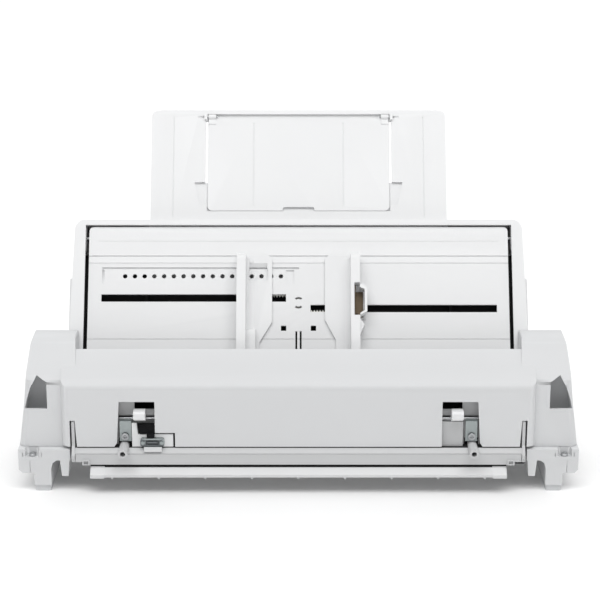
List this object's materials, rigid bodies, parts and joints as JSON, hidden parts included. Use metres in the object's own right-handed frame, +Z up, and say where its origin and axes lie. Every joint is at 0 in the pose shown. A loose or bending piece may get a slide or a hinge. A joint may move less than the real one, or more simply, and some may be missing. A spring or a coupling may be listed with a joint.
{
  "type": "automatic document sheet feeder",
  "caption": "Detachable wide sheet feeder for a document scanner: leaning hopper with rack-coupled guides, sliding extension, flap, docking hooks and feed rollers.",
  "frame": {"origin": "middle of the footprint, on the floor", "axes": "+X right seen from the front, +Y to the back, +Z up"},
  "size_m": [0.4772, 0.2, 0.2951],
  "materials": {
    "cover_plastic": "fine matt texture, light warm grey",
    "hopper_plastic": "fine matt texture, off white",
    "nylon": "smooth natural nylon",
    "rubber": "ground rubber",
    "sheet_steel": "zinc-plated sheet",
    "bright_steel": "bright turned or plated steel",
    "spring_brass": "dull spring brass",
    "motor_can": "dark plated can",
    "black_plastic": "flexible black moulding",
    "circuit_board": "green solder mask"
  },
  "bodies": {
    "chassis": {"front_cover": "cover_plastic", "bracket_left": "cover_plastic", "bracket_right": "cover_plastic", "base_frame": "cover_plastic", "rear_cover": "hopper_plastic", "rear_housing": "hopper_plastic", "exit_chute": "hopper_plastic", "connector_panel": "hopper_plastic", "separation_pad_holder": "nylon", "foot_pad_left": "rubber", "foot_pad_right": "rubber", "separation_pad": "rubber", "latch_plate_left": "sheet_steel", "latch_plate_right": "sheet_steel", "gear_plate": "sheet_steel", "interface_connector": "sheet_steel", "bracket_screw_left": "bright_steel", "bracket_screw_right": "bright_steel", "rear_screw_left": "bright_steel", "rear_screw_right": "bright_steel", "latch_screw_left": "bright_steel", "latch_screw_right": "bright_steel", "lift_spring_left": "bright_steel", "lift_spring_right": "bright_steel", "drive_motor": "motor_can", "cable_boot": "black_plastic", "control_board": "circuit_board"},
    "hopper": {"hopper_plate": "hopper_plastic", "hopper_friction_pad": "rubber", "pivot_pin_left": "bright_steel", "pivot_pin_right": "bright_steel", "pinion_clip": "bright_steel"},
    "right_guide": {"guide_right": "hopper_plastic", "rack_right": "nylon", "release_spring": "spring_brass"},
    "left_guide": {"guide_left": "hopper_plastic", "rack_left": "nylon"},
    "guide_pinion_gear": {"guide_pinion": "nylon"},
    "lever": {"release_lever": "hopper_plastic"},
    "extension": {"extension_tray": "hopper_plastic", "flap_pin_left": "bright_steel", "flap_pin_right": "bright_steel"},
    "flap": {"extension_flap": "hopper_plastic"},
    "lock_bar": {"lock_rod": "bright_steel", "lock_hook_left": "hopper_plastic", "lock_hook_right": "hopper_plastic", "lock_spring": "bright_steel"},
    "feed_rollers": {"feed_shaft": "bright_steel", "feed_roller": "rubber", "exit_roller_left": "rubber", "exit_roller_right": "rubber", "feed_gear": "nylon"},
    "pick_roller": {"pick_shaft": "bright_steel", "pick_hub": "nylon", "pick_tyre": "rubber", "pick_gear": "nylon"},
    "front_idler": {"idler_gear_front": "nylon"},
    "rear_idler": {"idler_gear_rear": "nylon"},
    "motor_rotor": {"motor_gear": "spring_brass"}
  },
  "joints": [
    {"name": "hopper_lift", "type": "hinge", "parent": "chassis", "child": "hopper", "pos_m": [0, 0.03263, 0.1923], "axis": [-1, 0, 0], "range_deg": [0, 4]},
    {"name": "guide_slide", "type": "slide", "parent": "hopper", "child": "right_guide", "axis": [1, 0, 0], "range_m": [-0.00175, 0.11875]},
    {"name": "left_guide_slide", "type": "slide", "parent": "hopper", "child": "left_guide", "axis": [1, 0, 0], "range_m": [-0.119, 0.0018]},
    {"name": "pinion_turn", "type": "hinge", "parent": "hopper", "child": "guide_pinion_gear", "pos_m": [0, 0.00018, 0.14209], "axis": [0, -0.866, 0.5], "range_deg": [-16, 1064]},
    {"name": "lever_squeeze", "type": "hinge", "parent": "right_guide", "child": "lever", "pos_m": [0.055, -0.00624, 0.15897], "axis": [0, -0.866, 0.5], "range_deg": [-5, 0], "stiffness_Nm_per_rad": 0.2, "springref_deg": 8.59},
    {"name": "extension_slide", "type": "slide", "parent": "chassis", "child": "extension", "axis": [0, 0.5, 0.866], "range_m": [-0.09, 0]},
    {"name": "flap_turn", "type": "hinge", "parent": "extension", "child": "flap", "pos_m": [0, 0.09054, 0.2898], "axis": [-1, 0, 0], "range_deg": [0, 170]},
    {"name": "lock_turn", "type": "hinge", "parent": "chassis", "child": "lock_bar", "pos_m": [0, -0.07645, 0.0638], "axis": [-1, 0, 0], "range_deg": [0, 15], "stiffness_Nm_per_rad": 0.1, "springref_deg": -17.19},
    {"name": "feed_turn", "type": "hinge", "parent": "chassis", "child": "feed_rollers", "pos_m": [0, -0.06415, 0.0544], "axis": [1, 0, 0], "continuous": true},
    {"name": "pick_turn", "type": "hinge", "parent": "chassis", "child": "pick_roller", "pos_m": [0, -0.06205, 0.089], "axis": [1, 0, 0], "continuous": true},
    {"name": "front_idler_turn", "type": "hinge", "parent": "chassis", "child": "front_idler", "pos_m": [-0.20825, -0.04462, 0.06911], "axis": [1, 0, 0], "continuous": true},
    {"name": "rear_idler_turn", "type": "hinge", "parent": "chassis", "child": "rear_idler", "pos_m": [-0.20825, -0.01419, 0.06798], "axis": [1, 0, 0], "continuous": true},
    {"name": "motor_turn", "type": "hinge", "parent": "chassis", "child": "motor_rotor", "pos_m": [-0.20825, 0.00495, 0.062], "axis": [1, 0, 0], "continuous": true}
  ],
  "couplings": [
    {"joint": "left_guide_slide", "follows": "guide_slide", "ratio": -1},
    {"joint": "pinion_turn", "follows": "guide_slide", "rad_per_m": 156.25},
    {"joint": "pick_turn", "follows": "feed_turn", "ratio": 0.80769},
    {"joint": "front_idler_turn", "follows": "feed_turn", "ratio": -0.525},
    {"joint": "rear_idler_turn", "follows": "feed_turn", "ratio": 0.58333},
    {"joint": "motor_turn", "follows": "feed_turn", "ratio": -1.5}
  ]
}
